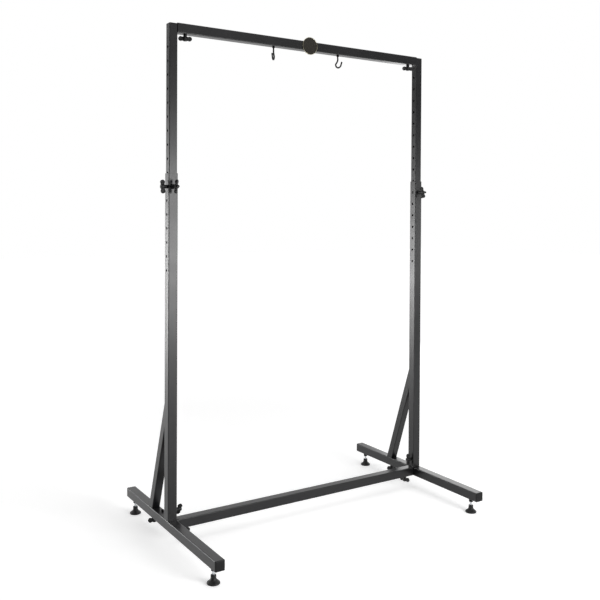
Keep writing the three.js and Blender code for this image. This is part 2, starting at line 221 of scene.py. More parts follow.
dimples = add_node(
    tree,
    "ShaderNodeBump",
    {"Height": peel.outputs["Fac"], "Strength": 0.25, "Distance": peel_depth},
)
tree.links.new(tone.outputs[2], shader.inputs["Base Color"])
tree.links.new(gloss.outputs["Result"], shader.inputs["Roughness"])
tree.links.new(dimples.outputs["Normal"], shader.inputs["Normal"])

tube_wall = 0.002
tube_corner = 0.003
coat_round = 0.0004
leg_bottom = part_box("leg_left")[0].z
leg_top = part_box("leg_left")[1].z
foot_hole = 0.011
screw_hole = 0.009
small_hole = 0.007
drill_depth = 0.020
foot_reach = 0.394
brace_reach = 0.172

for side in ("left", "right"):
    leg = tube_over(f"steel_leg_{side}", f"leg_{side}", tube_wall, tube_corner)
    leg_x = middle_of(f"leg_{side}").x
    holes = [
        ((leg_x, y, leg_bottom), "Z", foot_hole, drill_depth) for y in (-foot_reach, foot_reach)
    ]
    holes.append(((leg_x, brace_reach, leg_bottom), "Z", screw_hole, drill_depth))
    holes.append(((leg_x, brace_reach, leg_top), "Z", screw_hole, drill_depth))
    if side == "left":
        small = middle_of("leg_screw_left")
        holes.append(((small.x, small.y, leg_top), "Z", small_hole, drill_depth))
    drill(leg, holes)
    soften(leg, coat_round)
    fit(leg, "base", [f"leg_{side}"], powder_coat)


# Leg end caps. Low-density polyethylene, injection moulded black: a slightly crowned head that
# covers the tube's end, and a hollow square plug that is tapped into the bore.


def seat_piece(piece, place):
    """Sets a piece in its place, turned as it stands there, and leaves its object at the origin."""
    bpy.ops.object.select_all(action="DESELECT")
    piece.select_set(True)
    bpy.context.view_layer.objects.active = piece
    piece.matrix_world = place
    bpy.ops.object.transform_apply(location=True, rotation=True, scale=True)


def end_cap(name, size, wall, corner, place):
    """Raises a rounded square through a few ever smaller rings into a crown, then adds the plug."""
    bpy.ops.object.select_all(action="DESELECT")
    bpy.ops.mesh.primitive_plane_add(size=size)
    cap = bpy.context.object
    cap.name = cap.data.name = name
    bpy.ops.object.mode_set(mode="EDIT")
    bpy.ops.mesh.select_all(action="SELECT")
    bpy.ops.mesh.bevel(offset=corner, segments=corner_segments, affect="VERTICES")
    bpy.ops.mesh.select_all(action="SELECT")
    height = 0
    share = 1
    for to_height, to_share in crown:
        rise = (0, 0, to_height - height)
        bpy.ops.mesh.extrude_region_move(TRANSFORM_OT_translate={"value": rise})
        bpy.ops.transform.resize(
            value=(to_share / share, to_share / share, 1), center_override=(0, 0, to_height)
        )
        height = to_height
        share = to_share
    bpy.ops.mesh.select_all(action="SELECT")
    bpy.ops.mesh.normals_make_consistent(inside=False)
    bpy.ops.object.mode_set(mode="OBJECT")
    plug_size = size - 2 * wall - 2 * plug_gap
    plug_run = (0, 0, plug_depth + plug_overlap)
    plug_start = (0, 0, -plug_depth)
    plug = draw_tube("plug", plug_size, wall, plug_corner, plug_start, ALONG["Z"], plug_run)
    combine(cap, plug, "UNION")
    seat_piece(cap, place)
    soften(cap, cap_round, limit=45)
    return cap


def moulded_plastic(name, colour, ior, roughness, sheen, grain_size, grain_depth, grain_strength):
    """Plastic from a textured mould, whose grain dimples it and lets its sheen vary."""
    plastic, tree, shader, place = new_material(name, 0.0, roughness)
    shader.inputs["IOR"].default_value = ior
    shader.inputs["Base Color"].default_value = linear(colour)
    grain = add_node(
        tree, "ShaderNodeTexNoise", {"Vector": place, "Scale": 1 / grain_size, "Detail": 3.0}
    )
    gloss = add_node(
        tree,
        "ShaderNodeMapRange",
        {"Value": grain.outputs["Fac"], "To Min": sheen[0], "To Max": sheen[1]},
    )
    relief = add_node(
        tree,
        "ShaderNodeBump",
        {"Height": grain.outputs["Fac"], "Strength": grain_strength, "Distance": grain_depth},
    )
    tree.links.new(gloss.outputs["Result"], shader.inputs["Roughness"])
    tree.links.new(relief.outputs["Normal"], shader.inputs["Normal"])
    return plastic


# Polyethylene from a spark-eroded mould: a dull black with a fine even grain of about 0.5 mm,
# drawn at 0.9 mm so that it still shows, and a soft wide sheen.
cap_plastic = moulded_plastic(
    "moulded_polyethylene",
    colour="#080809",
    ior=1.3,
    roughness=0.5,
    sheen=(0.42, 0.58),
    grain_size=0.0009,
    grain_depth=0.00005,
    grain_strength=0.3,
)

crown = [
    (0.0022, 1.0), (0.0029, 0.985), (0.0035, 0.95), (0.0039, 0.89), (0.0042, 0.78), (0.0044, 0.55),
    (0.0045, 0.25),
]
cap_round = 0.0003
plug_gap = 0.0003
plug_depth = 0.014
plug_overlap = 0.001
plug_corner = 0.0026
tube_size = 0.040
FACING_FRONT = Matrix.Rotation(QUARTER, 4, "X")
FACING_BACK = Matrix.Rotation(-QUARTER, 4, "X")

for side in ("left", "right"):
    for end, turn in (("front", FACING_FRONT), ("back", FACING_BACK)):
        low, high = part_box(f"leg_{side}")
        seat = middle_of(f"leg_{side}")
        seat.y = low.y if end == "front" else high.y
        place = Matrix.Translation(seat) @ turn
        cap = end_cap(f"plastic_cap_{end}_{side}", tube_size, tube_wall, tube_corner, place)
        fit(cap, "base", [f"leg_cap_{end}_{side}"], cap_plastic)


# Levelling feet. A moulded nylon pad with a flared foot and a round neck is pressed on the end of
# a bright M10 spindle, which screws into the leg. A black nut under the leg locks it.


def turned(name, profile, sides=48):
    """Turns a solid about Z: a filled circle is pulled up through rings of radius and height."""
    bpy.ops.object.select_all(action="DESELECT")
    radius, height = profile[0]
    bpy.ops.mesh.primitive_circle_add(
        vertices=sides, radius=radius, fill_type="NGON", location=(0, 0, height)
    )
    bpy.ops.object.transform_apply(location=True, rotation=True, scale=True)
    piece = bpy.context.object
    piece.name = piece.data.name = name
    bpy.ops.object.mode_set(mode="EDIT")
    bpy.ops.mesh.select_all(action="SELECT")
    for to_radius, to_height in profile[1:]:
        rise = (0, 0, to_height - height)
        bpy.ops.mesh.extrude_region_move(TRANSFORM_OT_translate={"value": rise})
        bpy.ops.transform.resize(
            value=(to_radius / radius, to_radius / radius, 1), center_override=(0, 0, to_height)
        )
        radius, height = to_radius, to_height
    bpy.ops.mesh.select_all(action="SELECT")
    bpy.ops.mesh.normals_make_consistent(inside=False)
    bpy.ops.object.mode_set(mode="OBJECT")
    return piece


def copy_of(piece, name):
    """A copy with a mesh of its own."""
    twin = piece.copy()
    twin.data = piece.data.copy()
    twin.name = twin.data.name = name
    bpy.context.scene.collection.objects.link(twin)
    return twin


def thread(name, diameter, pitch, bottom, length):
    """Winds a V of one pitch up the axis with the Screw modifier, and closes both ends."""
    depth = thread_depth_share * pitch
    turns = math.floor(length / pitch)
    bpy.ops.object.select_all(action="DESELECT")
    bpy.ops.mesh.primitive_plane_add(size=pitch / math.sqrt(2), rotation=(QUARTER, 0, 0))
    bpy.ops.object.transform_apply(location=False, rotation=True, scale=True)
    piece = bpy.context.object
    piece.name = piece.data.name = name
    piece.rotation_euler = (0, QUARTER / 2, 0)
    bpy.ops.object.transform_apply(location=False, rotation=True, scale=True)
    bpy.ops.object.mode_set(mode="EDIT")
    bpy.ops.mesh.select_all(action="DESELECT")
    bpy.ops.object.mode_set(mode="OBJECT")
    for vertex in piece.data.vertices:
        vertex.select = vertex.co.x < -pitch / 4
    bpy.ops.object.mode_set(mode="EDIT")
    bpy.ops.mesh.delete(type="VERT")
    bpy.ops.mesh.select_all(action="SELECT")
    bpy.ops.transform.resize(value=(2 * depth / pitch, 1, 1), center_override=(0, 0, 0))
    bpy.ops.transform.translate(value=(diameter / 2 - depth, 0, bottom + pitch / 2))
    bpy.ops.object.mode_set(mode="OBJECT")
    winding = piece.modifiers.new("winding", "SCREW")
    winding.screw_offset = pitch
    winding.iterations = turns
    winding.steps = winding.render_steps = thread_steps
    winding.use_merge_vertices = True
    winding.merge_threshold = thread_merge
    apply_all(piece)
    bpy.ops.object.mode_set(mode="EDIT")
    bpy.ops.mesh.select_all(action="SELECT")
    bpy.ops.mesh.remove_doubles(threshold=thread_merge)
    bpy.ops.mesh.select_mode(type="EDGE")
    bpy.ops.mesh.select_all(action="DESELECT")
    bpy.ops.mesh.select_non_manifold()
    bpy.ops.mesh.edge_face_add()
    bpy.ops.mesh.select_mode(type="VERT")
    bpy.ops.mesh.select_all(action="SELECT")
    bpy.ops.mesh.normals_make_consistent(inside=False)
    bpy.ops.object.mode_set(mode="OBJECT")
    soften(piece, thread_round, segments=1, limit=100)
    return piece


def hex_nut(name, across, height, bore):
    """A six-sided block, its corners turned down at both faces, with its hole drilled."""
    corner = across / math.sqrt(3)
    slope = nut_slope_share * (corner - across / 2) * math.tan(nut_chamfer)
    bpy.ops.object.select_all(action="DESELECT")
    bpy.ops.mesh.primitive_cylinder_add(
        vertices=6,
        radius=corner,
        depth=height,
        location=(0, 0, height / 2),
        rotation=(0, 0, QUARTER),
    )
    bpy.ops.object.transform_apply(location=True, rotation=True, scale=True)
    nut = bpy.context.object
    nut.name = nut.data.name = name
    face = nut_face_share * across
    wide = corner + nut_spare
    lathe = turned("lathe", [(face, 0), (wide, slope), (wide, height - slope), (face, height)])
    combine(nut, lathe, "INTERSECT")
    drill(nut, [((0, 0, height / 2), "Z", bore, 3 * height)])
    bpy.ops.object.mode_set(mode="EDIT")
    bpy.ops.mesh.select_all(action="SELECT")
    bpy.ops.mesh.remove_doubles(threshold=nut_merge)
    bpy.ops.mesh.delete_loose(use_verts=True, use_edges=True, use_faces=False)
    bpy.ops.object.mode_set(mode="OBJECT")
    return nut


def mottled_finish(name, metallic, roughness, tones, sheen, patch_size, detail):
    """A finish whose tone and sheen wander in soft patches, and its shader."""
    finish, tree, shader, place = new_material(name, metallic, roughness)
    mottle = add_node(
        tree, "ShaderNodeTexNoise", {"Vector": place, "Scale": 1 / patch_size, "Detail": detail}
    )
    tone = add_node(
        tree,
        "ShaderNodeMix",
        {0: mottle.outputs["Fac"], 6: linear(tones[0]), 7: linear(tones[1])},
        data_type="RGBA",
    )
    gloss = add_node(
        tree,
        "ShaderNodeMapRange",
        {"Value": mottle.outputs["Fac"], "To Min": sheen[0], "To Max": sheen[1]},
    )
    tree.links.new(tone.outputs[2], shader.inputs["Base Color"])
    tree.links.new(gloss.outputs["Result"], shader.inputs["Roughness"])
    return finish, shader


# Glass-filled nylon, moulded: a dull black, a little glossier than the caps, with a fine grain.
pad_plastic = moulded_plastic(
    "moulded_nylon_pad",
    colour="#09090a",
    ior=1.38,
    roughness=0.45,
    sheen=(0.36, 0.52),
    grain_size=0.0008,
    grain_depth=0.00005,
    grain_strength=0.3,
)

# Bright zinc on rolled steel: a cool pale grey metal, a little cloudy where the bath left it so,
# with patches about 3 mm across.
bright_zinc, _ = mottled_finish(
    "bright_zinc_plated_steel",
    metallic=1.0,
    roughness=0.28,
    tones=("#aeb1b5", "#d4d6d9"),
    sheen=(0.2, 0.38),
    patch_size=0.003,
    detail=4.0,
)

# Black-passivated and sealed zinc on steel, as on small fixings: near black and satin, with a
# slight mottle about 2 mm across. The sealer over it reflects as a thin lacquer does.
black_zinc, shader = mottled_finish(
    "black_zinc_plated_steel",
    metallic=0.0,
    roughness=0.45,
    tones=("#070708", "#101012"),
    sheen=(0.36, 0.5),
    patch_size=0.002,
    detail=4.0,
)
shader.inputs["IOR"].default_value = 1.24

pad_profile = [
    (0.0230, 0.0), (0.0244, 0.0006), (0.0250, 0.0020), (0.0250, 0.0044), (0.0243, 0.0058),
    (0.0228, 0.0072), (0.0203, 0.0092), (0.0174, 0.0114), (0.0150, 0.0136), (0.0130, 0.0160),
    (0.0115, 0.0184), (0.0107, 0.0208), (0.0105, 0.0235), (0.0105, 0.0316), (0.0101, 0.0326),
    (0.0092, 0.0330), (0.0056, 0.0330), (0.0056, 0.0182),
]
thread_depth_share = 0.55
thread_steps = 20
thread_merge = 0.00001
thread_round = 0.00001
spindle_diameter = 0.010
spindle_pitch = 0.0015
pad_round = 0.0002
nut_across = 0.017
nut_chamfer = math.radians(30)
nut_face_share = 0.475
nut_slope_share = 1.3
nut_spare = 0.0002
nut_merge = 0.00002
nut_round = 0.0003
nut_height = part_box("foot_nut_front_left")[1].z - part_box("foot_nut_front_left")[0].z

pad_model = turned("pad_model", pad_profile)
soften(pad_model, pad_round, segments=1, limit=60)
spindle_low, spindle_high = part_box("foot_spindle_front_left")
spindle_length = spindle_high.z - spindle_low.z
spindle_model = thread(
    "spindle_model", spindle_diameter, spindle_pitch, spindle_low.z, spindle_length - spindle_pitch
)
nut_model = hex_nut("nut_model", nut_across, nut_height, spindle_diameter)
soften(nut_model, nut_round)

for side in ("left", "right"):
    for end in ("front", "back"):
        centre = middle_of(f"foot_pad_{end}_{side}")
        at = Matrix.Translation((centre.x, centre.y, 0))
        pad = copy_of(pad_model, f"nylon_pad_{end}_{side}")
        seat_piece(pad, at)
        foot = f"levelling_foot_{end}_{side}"
        fit(pad, foot, [f"foot_pad_{end}_{side}"], pad_plastic)
        spindle = copy_of(spindle_model, f"threaded_spindle_{end}_{side}")
        seat_piece(spindle, at)
        fit(spindle, foot, [f"foot_spindle_{end}_{side}"], bright_zinc)
        nut = copy_of(nut_model, f"lock_nut_{end}_{side}")
        seat_piece(nut, at @ Matrix.Translation((0, 0, leg_bottom - nut_height)))
        fit(nut, "base", [f"foot_nut_{end}_{side}"], black_zinc)
for model in (pad_model, spindle_model, nut_model):
    bpy.data.objects.remove(model)


# Stubs. Short lengths of 35 mm tube are welded on the legs, upright for the post and level for
# the crossbar. They are coated with the leg and hidden once the stand is together.


def finish_hidden(node, material):
    """A hidden piece keeps its plain shape and takes its finish."""
    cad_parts[node].material_slots[0].material = material


for side in ("left", "right"):
    for stub in (f"post_stub_{side}", f"crossbar_stub_{side}"):
        finish_hidden(stub, powder_coat)


# Lower posts. The same 40 mm tube, standing over the upright stubs. Seven cross holes below the
# top take the height pin, one hole in front is for the clamp screw and one low on the inner side
# is for the post screw.
pin_hole = 0.011
hole_pitch = 0.0565
hole_count = 7
pin_height = middle_of("clamp_boss_left").z
post_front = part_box("lower_post_left")[0].y
post_screw_rise = 0.036
through = 0.060

for side, out in (("left", -1), ("right", 1)):
    post = tube_over(f"steel_lower_post_{side}", f"lower_post_{side}", tube_wall, tube_corner)
    x = middle_of(f"lower_post_{side}").x
    inner_x = x - out * tube_size / 2
    holes = [
        ((x, 0, pin_height - i * hole_pitch), "X", pin_hole, through) for i in range(hole_count)
    ]
    holes.append(((x, post_front, pin_height), "Y", screw_hole, drill_depth))
    holes.append(((inner_x, 0, leg_top + post_screw_rise), "X", screw_hole, drill_depth))
    drill(post, holes)
    soften(post, coat_round)
    fit(post, "base", [f"lower_post_{side}"], powder_coat)


# Braces. Each is a 35 mm tube leaning from the leg to the back of the post, sawn flat to both. A
# steel block welded in its foot is tapped for the brace screw.


def saw(piece, low, high):
    """Saws away what lies in a box."""
    bpy.ops.object.select_all(action="DESELECT")
    centre = (Vector(low) + Vector(high)) / 2
    bpy.ops.mesh.primitive_cube_add(size=1, location=centre, scale=Vector(high) - Vector(low))
    combine(piece, bpy.context.object, "DIFFERENCE")


inner_size = 0.035
inner_wall = 0.002
inner_corner = 0.0025
brace_rise = 0.436
seat_gap = 0.0003
brace_angle = math.atan2(brace_reach - tube_size / 2, brace_rise)
brace_spare = 0.040
saw_spare = 0.1
saw_reach = 0.4
saw_height = 0.8

for side in ("left", "right"):
    x = middle_of(f"brace_{side}").x
    lean = Vector((0, -math.sin(brace_angle), math.cos(brace_angle)))
    start = Vector((x, brace_reach, leg_top)) - lean * brace_spare
    run = lean * (brace_rise / math.cos(brace_angle) + 3 * brace_spare)
    brace = draw_tube(
        f"steel_brace_{side}", inner_size, inner_wall, inner_corner, start, (brace_angle, 0, 0), run
    )
    saw_start = (x - tube_size, -saw_spare, leg_top - saw_spare)
    saw(brace, saw_start, (x + tube_size, saw_reach, leg_top + seat_gap))
    saw(brace, saw_start, (x + tube_size, tube_size / 2 + seat_gap, leg_top + saw_height))
    soften(brace, coat_round)
    fit(brace, "base", [f"brace_{side}"], powder_coat)
    finish_hidden(f"brace_nut_{side}", black_zinc)


# Crossbar. A 40 mm coated tube, pushed over the level stubs of both legs. One hole under each end
# lets its wing screw press on the stub.
crossbar_screw_x = 0.592

crossbar = tube_over("steel_crossbar", "crossbar", tube_wall, tube_corner)
crossbar_ends = (-crossbar_screw_x, crossbar_screw_x)
drill(crossbar, [((x, 0, leg_bottom), "Z", screw_hole, drill_depth) for x in crossbar_ends])
soften(crossbar, coat_round)
fit(crossbar, "base", ["crossbar"], powder_coat)


# Wing screws of the base. Each head is one nylon moulding on a zinc-plated screw: a sleeve that
# seats on the tube, a thicker hub and two round ears with dished faces for finger and thumb.


def wing_head():
    """Builds hub, web and ears as overlapping solids, then melts them into one moulding."""
    parts = [turned("wing_model", hub_profile)]
    for way in (-1, 1):
        bpy.ops.object.select_all(action="DESELECT")
        bpy.ops.mesh.primitive_cylinder_add(
            vertices=ear_sides,
            radius=ear_radius,
            depth=ear_thickness,
            location=(way * ear_reach, 0, ear_rise),
            rotation=(QUARTER, 0, 0),
        )
        bpy.ops.object.transform_apply(location=True, rotation=True, scale=True)
        ear = bpy.context.object
        for press in (-1, 1):
            for polygon in ear.data.polygons:
                polygon.select = polygon.normal.y * press > facing
            for edge in ear.data.edges:
                edge.select = False
            for vertex in ear.data.vertices:
                vertex.select = False
            bpy.ops.object.mode_set(mode="EDIT")
            bpy.ops.mesh.select_mode(type="FACE")
            bpy.ops.mesh.inset(thickness=ear_lip, depth=0)
            bpy.ops.mesh.inset(thickness=ear_dish, depth=-ear_dish)
            bpy.ops.object.mode_set(mode="OBJECT")
        parts.append(ear)
    bpy.ops.object.select_all(action="DESELECT")
    bpy.ops.mesh.primitive_cube_add(
        size=1, location=(0, 0, ear_rise), scale=(2 * ear_reach, web_thickness, 2 * web_half)
    )
    bpy.ops.object.transform_apply(location=True, rotation=True, scale=True)
    parts.append(bpy.context.object)
    for part in parts:
        part.select_set(True)
    bpy.context.view_layer.objects.active = parts[0]
    bpy.ops.object.join()
    head = parts[0]
    melt = head.modifiers.new("melt", "REMESH")
    melt.mode = "VOXEL"
    melt.voxel_size = melt_size
    fillet = head.modifiers.new("fillet", "SMOOTH")
    fillet.factor = 0.5
    fillet.iterations = fillet_passes
    apply_all(head)
    bpy.ops.object.select_all(action="DESELECT")
    head.select_set(True)
    bpy.ops.object.shade_smooth()
    return head


def wing_place(seat, direction, roll):
    """Where a wing screw stands: its head along a direction, its ears turned about it."""
    if direction == DOWN:  # the opposite of +Z, to which no single shortest turn leads
        turn = Matrix.Rotation(math.pi, 4, "Y")
    else:
        turn = Vector((0, 0, 1)).rotation_difference(Vector(direction)).to_matrix().to_4x4()
    return Matrix.Translation(seat) @ turn @ Matrix.Rotation(math.radians(roll), 4, "Z")


def wing_screw(node, place, shank_model, shank_slot="bright_steel", shank_metal=bright_zinc):
    """Copies a head and a screw to a wing screw's place. Both turn with its own body."""
    for model, name, slot, material in (
        (wing_model, f"wing_head_{node}", "knob_plastic", knob_plastic),
        (shank_model, f"wing_shank_{node}", shank_slot, shank_metal),
    ):
        part = copy_of(model, name)
        seat_piece(part, place)
        fit(part, node, [node], material)


# Glass-filled nylon of the wing screws: black, semi-matt, with a fine grain from the mould.
knob_plastic = moulded_plastic(
    "moulded_nylon_knob",
    colour="#080809",
    ior=1.38,
    roughness=0.5,
    sheen=(0.42, 0.58),
    grain_size=0.0007,
    grain_depth=0.00004,
    grain_strength=0.25,
)

ear_sides = 48
ear_radius = 0.0095
ear_thickness = 0.008
ear_reach = 0.0185
ear_rise = 0.0175
ear_lip = 0.0020
ear_dish = 0.0012
facing = 0.9  # how far a face's normal points along Y before it counts as an ear's face
web_thickness = 0.0056
web_half = 0.0082
melt_size = 0.0006
fillet_passes = 5
hub_profile = [
    (0.0075, 0.0), (0.0075, 0.0080), (0.0080, 0.0115), (0.0090, 0.0150), (0.0090, 0.0252),
    (0.0084, 0.0264), (0.0072, 0.0270), (0.0050, 0.0270), (0.0044, 0.0262),
]
screw_diameter = 0.008
screw_pitch = 0.00125
stub_screw_length = 0.0105
brace_screw_length = 0.0483

wing_model = wing_head()
stub_shank = thread(
    "stub_shank", screw_diameter, screw_pitch, -stub_screw_length, stub_screw_length
)
brace_shank = thread(
    "brace_shank", screw_diameter, screw_pitch, -brace_screw_length, brace_screw_length
)

DOWN = (0, 0, -1)
brace_screw_roll = 0
post_screw_roll = {"left": 33, "right": 0}
crossbar_screw_roll = {"left": 0, "right": 80}

for side, out in (("left", -1), ("right", 1)):
    x = middle_of(f"lower_post_{side}").x
    inner_x = x - out * tube_size / 2
    wing_screw(
        f"brace_screw_{side}",
        wing_place((x, brace_reach, leg_bottom), DOWN, brace_screw_roll),
        brace_shank,
    )
    wing_screw(
        f"post_screw_{side}",
        wing_place((inner_x, 0, leg_top + post_screw_rise), (-out, 0, 0), post_screw_roll[side]),
        stub_shank,
    )
    wing_screw(
        f"crossbar_screw_{side}",
        wing_place((out * crossbar_screw_x, 0, leg_bottom), DOWN, crossbar_screw_roll[side]),
        stub_shank,
    )


# Small screw. One socket-head screw of black-plated steel stands in the top of the left leg,
# between the brace and the post, and is screwed through the leg's wall.
socket_profile = [
    (0.0030, -0.008), (0.0030, 0.0), (0.0055, 0.0), (0.0055, 0.0074), (0.0051, 0.0085),
    (0.0042, 0.0090), (0.0026, 0.0090), (0.0026, 0.0055),
]
screw_round = 0.0002
small_screw = turned("socket_screw_left", socket_profile, sides=36)
soften(small_screw, screw_round)
seat_piece(small_screw, Matrix.Translation((small.x, small.y, leg_top)))
fit(small_screw, "base", ["leg_screw_left"], black_zinc)


# Upper posts. 35 mm tube, coated as the rest, which slides in the lower posts. Its cross holes are
# on the same pitch, so they line up with theirs for the height pin.
upper_end_inset = 0.0425
upper_hole_count = 17

for side in ("left", "right"):
    post = tube_over(f"steel_upper_post_{side}", f"upper_post_{side}", inner_wall, inner_corner)
    x = middle_of(f"upper_post_{side}").x
    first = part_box(f"upper_post_{side}")[0].z + upper_end_inset
    drill(
        post,
        [
            ((x, 0, first + i * hole_pitch), "X", pin_hole, through)
            for i in range(upper_hole_count)
        ],
    )
    soften(post, coat_round)
    fit(post, "upper_frame", [f"upper_post_{side}"], powder_coat)


# Height pins and clamps. A wing head on a smooth black pin goes through both tubes. In front, a
# threaded boss welded on the post takes a clamp screw, whose end shows beyond its head.
pin_radius = 0.005
pin_length = 0.040
pin_seat = 0.015
tail_radius = 0.0045
boss_radius = 0.010
boss_height = 0.012
boss_round = 0.0003
clamp_reach = 0.0142
clamp_tail = 0.014
wing_height = 0.027
pin_roll = {"left": 8, "right": 0}
clamp_roll = {"left": 84, "right": 109}

pin_model = turned(
    "pin_model",
    [
        (pin_radius - 0.0012, -pin_length), (pin_radius - 0.0003, -pin_length + 0.0006),
        (pin_radius, -pin_length + 0.0016), (pin_radius, pin_seat),
    ],
    sides=40,
)
soften(pin_model, screw_round)
clamp_model = thread("clamp_model", screw_diameter, screw_pitch, -clamp_reach, clamp_reach)
tail_model = turned(
    "tail_model",
    [
        (tail_radius, wing_height - 0.002), (tail_radius, wing_height + clamp_tail - 0.0012),
        (tail_radius - 0.0007, wing_height + clamp_tail - 0.0003),
        (tail_radius - 0.0015, wing_height + clamp_tail),
    ],
    sides=40,
)
soften(tail_model, screw_round)
boss_model = turned(
    "boss_model",
    [
        (boss_radius, 0.0), (boss_radius, boss_height - 0.0012),
        (boss_radius - 0.0004, boss_height - 0.0004), (boss_radius - 0.0012, boss_height),
    ],
)
drill(boss_model, [((0, 0, boss_height / 2), "Z", screw_hole, 3 * boss_height)])
soften(boss_model, boss_round)

for side, out in (("left", -1), ("right", 1)):
    x = middle_of(f"lower_post_{side}").x
    wing_screw(
        f"height_pin_{side}",
        wing_place((x + out * tube_size / 2, 0, pin_height), (out, 0, 0), pin_roll[side]),
        pin_model,
        "black_steel",
        black_zinc,
    )
    boss = copy_of(boss_model, f"welded_boss_{side}")
    seat_piece(boss, Matrix.Translation((x, post_front, pin_height)) @ FACING_FRONT)
    fit(boss, "base", [f"clamp_boss_{side}"], powder_coat)
    clamp_seat = (x, post_front - boss_height, pin_height)
    clamp_place = wing_place(clamp_seat, (0, -1, 0), clamp_roll[side])
    wing_screw(f"clamp_screw_{side}", clamp_place, clamp_model)
    tail = copy_of(tail_model, f"clamp_tail_{side}")
    seat_piece(tail, clamp_place)
    fit(tail, f"clamp_screw_{side}", [f"clamp_screw_{side}"], knob_plastic)


# Post caps. The same crowned cap of black polyethylene, one size down, is tapped into the top of
# each upper post.
for side in ("left", "right"):
    seat = middle_of(f"upper_post_{side}")
    seat.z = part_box(f"upper_post_{side}")[1].z
    place = Matrix.Translation(seat)
    cap = end_cap(f"plastic_cap_post_{side}", inner_size, inner_wall, inner_corner, place)
    fit(cap, "upper_frame", [f"post_cap_{side}"], cap_plastic)


# Top bar. A 40 mm coated tube over level stubs on the upper posts, held by a wing screw under each
# end, and drilled for the two hooks.
bar_screw_x = 0.592
hook_x = 0.172
hook_hole = 0.008
bar_screw_roll = 14
bar_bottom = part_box("top_bar")[0].z

top_bar = tube_over("steel_top_bar", "top_bar", tube_wall, tube_corner)
drill(
    top_bar,
    [((x, 0, bar_bottom), "Z", screw_hole, drill_depth) for x in (-bar_screw_x, bar_screw_x)]
    + [((x, 0, bar_bottom), "Z", hook_hole, drill_depth) for x in (-hook_x, hook_x)],
)
soften(top_bar, coat_round)
fit(top_bar, "upper_frame", ["top_bar"], powder_coat)

for side, out in (("left", -1), ("right", 1)):
    finish_hidden(f"bar_stub_{side}", powder_coat)
    wing_screw(
        f"bar_screw_{side}",
        wing_place((out * bar_screw_x, 0, bar_bottom), DOWN, bar_screw_roll),
        stub_shank,
    )
for model in (wing_model, stub_shank, brace_shank, pin_model, clamp_model, tail_model, boss_model):
    bpy.data.objects.remove(model)


# Hooks. Each is bent from 7 mm black-plated rod with a thread rolled on its upper end, and hangs
# in the bar between a nut inside and a nut below, so that its loop swivels.
hook_wire = 0.007
hook_radius = 0.015
hook_offset = 0.004
hook_shank_drop = 0.0225
hook_loop_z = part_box("hook_left")[0].z - bar_bottom + hook_wire / 2 + hook_radius
hook_wire_top = -0.0120
hook_neck_set = -0.0060
hook_neck_rise = 0.0081
hook_loop_start = 172
hook_loop_end = 348
hook_loop_points = 8
hook_tip_length = 0.014
hook_tip_flare = math.radians(18)
hook_tip_round = 0.0014
hook_merge = 0.000001
hook_thread_top = 0.014
hook_thread_length = 0.028
hook_thread_pitch = 0.001
hook_nut_across = 0.011
hook_nut_height = 0.006
hook_nut_round = 0.00012
hook_turn = {"left": -136, "right": -70}

bends = [
    (0, hook_wire_top),
    (0, -hook_shank_drop),
    (hook_neck_set, hook_loop_z + hook_neck_rise),
]
hook_loop_turn = hook_loop_end - hook_loop_start
for i in range(hook_loop_points + 1):
    angle = math.radians(hook_loop_start + hook_loop_turn * i / hook_loop_points)
    bend_x = hook_offset + hook_radius * math.cos(angle)
    bends.append((bend_x, hook_loop_z + hook_radius * math.sin(angle)))
bends.append(
    (
        bends[-1][0] + hook_tip_length * math.sin(hook_tip_flare),
        bends[-1][1] + hook_tip_length * math.cos(hook_tip_flare),
    )
)

bpy.ops.object.select_all(action="DESELECT")
bpy.ops.curve.primitive_bezier_curve_add()
wire = bpy.context.object
wire.name = "hook_model"
wire.data.bevel_depth = hook_wire / 2
wire.data.bevel_resolution = 6
wire.data.resolution_u = 8
wire.data.use_fill_caps = True
spline = wire.data.splines[0]
spline.bezier_points.add(len(bends) - 2)
for point, (x, z) in zip(spline.bezier_points, bends):
    point.co = (x, 0, z)
    point.handle_left_type = point.handle_right_type = "AUTO"
bpy.ops.object.convert(target="MESH")
wire = bpy.context.object
bpy.ops.object.mode_set(mode="EDIT")
bpy.ops.mesh.select_all(action="SELECT")
bpy.ops.mesh.remove_doubles(threshold=hook_merge)
bpy.ops.mesh.normals_make_consistent(inside=False)
bpy.ops.object.mode_set(mode="OBJECT")
soften(wire, hook_tip_round, segments=3, limit=60)
rolled = thread(
    "rolled",
    hook_wire,
    hook_thread_pitch,
    hook_thread_top - hook_thread_length,
    hook_thread_length - hook_thread_pitch,
)
bpy.ops.object.select_all(action="DESELECT")
rolled.select_set(True)
wire.select_set(True)
bpy.context.view_layer.objects.active = wire
bpy.ops.object.join()

nut_model = hex_nut("nut_model", hook_nut_across, hook_nut_height, hook_wire)
soften(nut_model, hook_nut_round)
for side, out in (("left", -1), ("right", 1)):
    at = Matrix.Translation((out * hook_x, 0, bar_bottom))
    hook = copy_of(wire, f"bent_hook_{side}")
    seat_piece(hook, at @ Matrix.Rotation(math.radians(hook_turn[side]), 4, "Z"))
    fit(hook, f"hook_{side}", [f"hook_{side}"], black_zinc)
    nut = copy_of(nut_model, f"hook_nut_{side}")
    seat_piece(nut, at @ Matrix.Translation((0, 0, -hook_nut_height)))
    fit(nut, "upper_frame", [f"hook_lock_nut_{side}"], black_zinc)
    finish_hidden(f"hook_inner_nut_{side}", black_zinc)
for model in (wire, nut_model):
    bpy.data.objects.remove(model)


# Badge. A round pressed plate fixed flat on the front of the bar: a dark lacquered face, left bare,
# with a thin ring rolled over its edge.

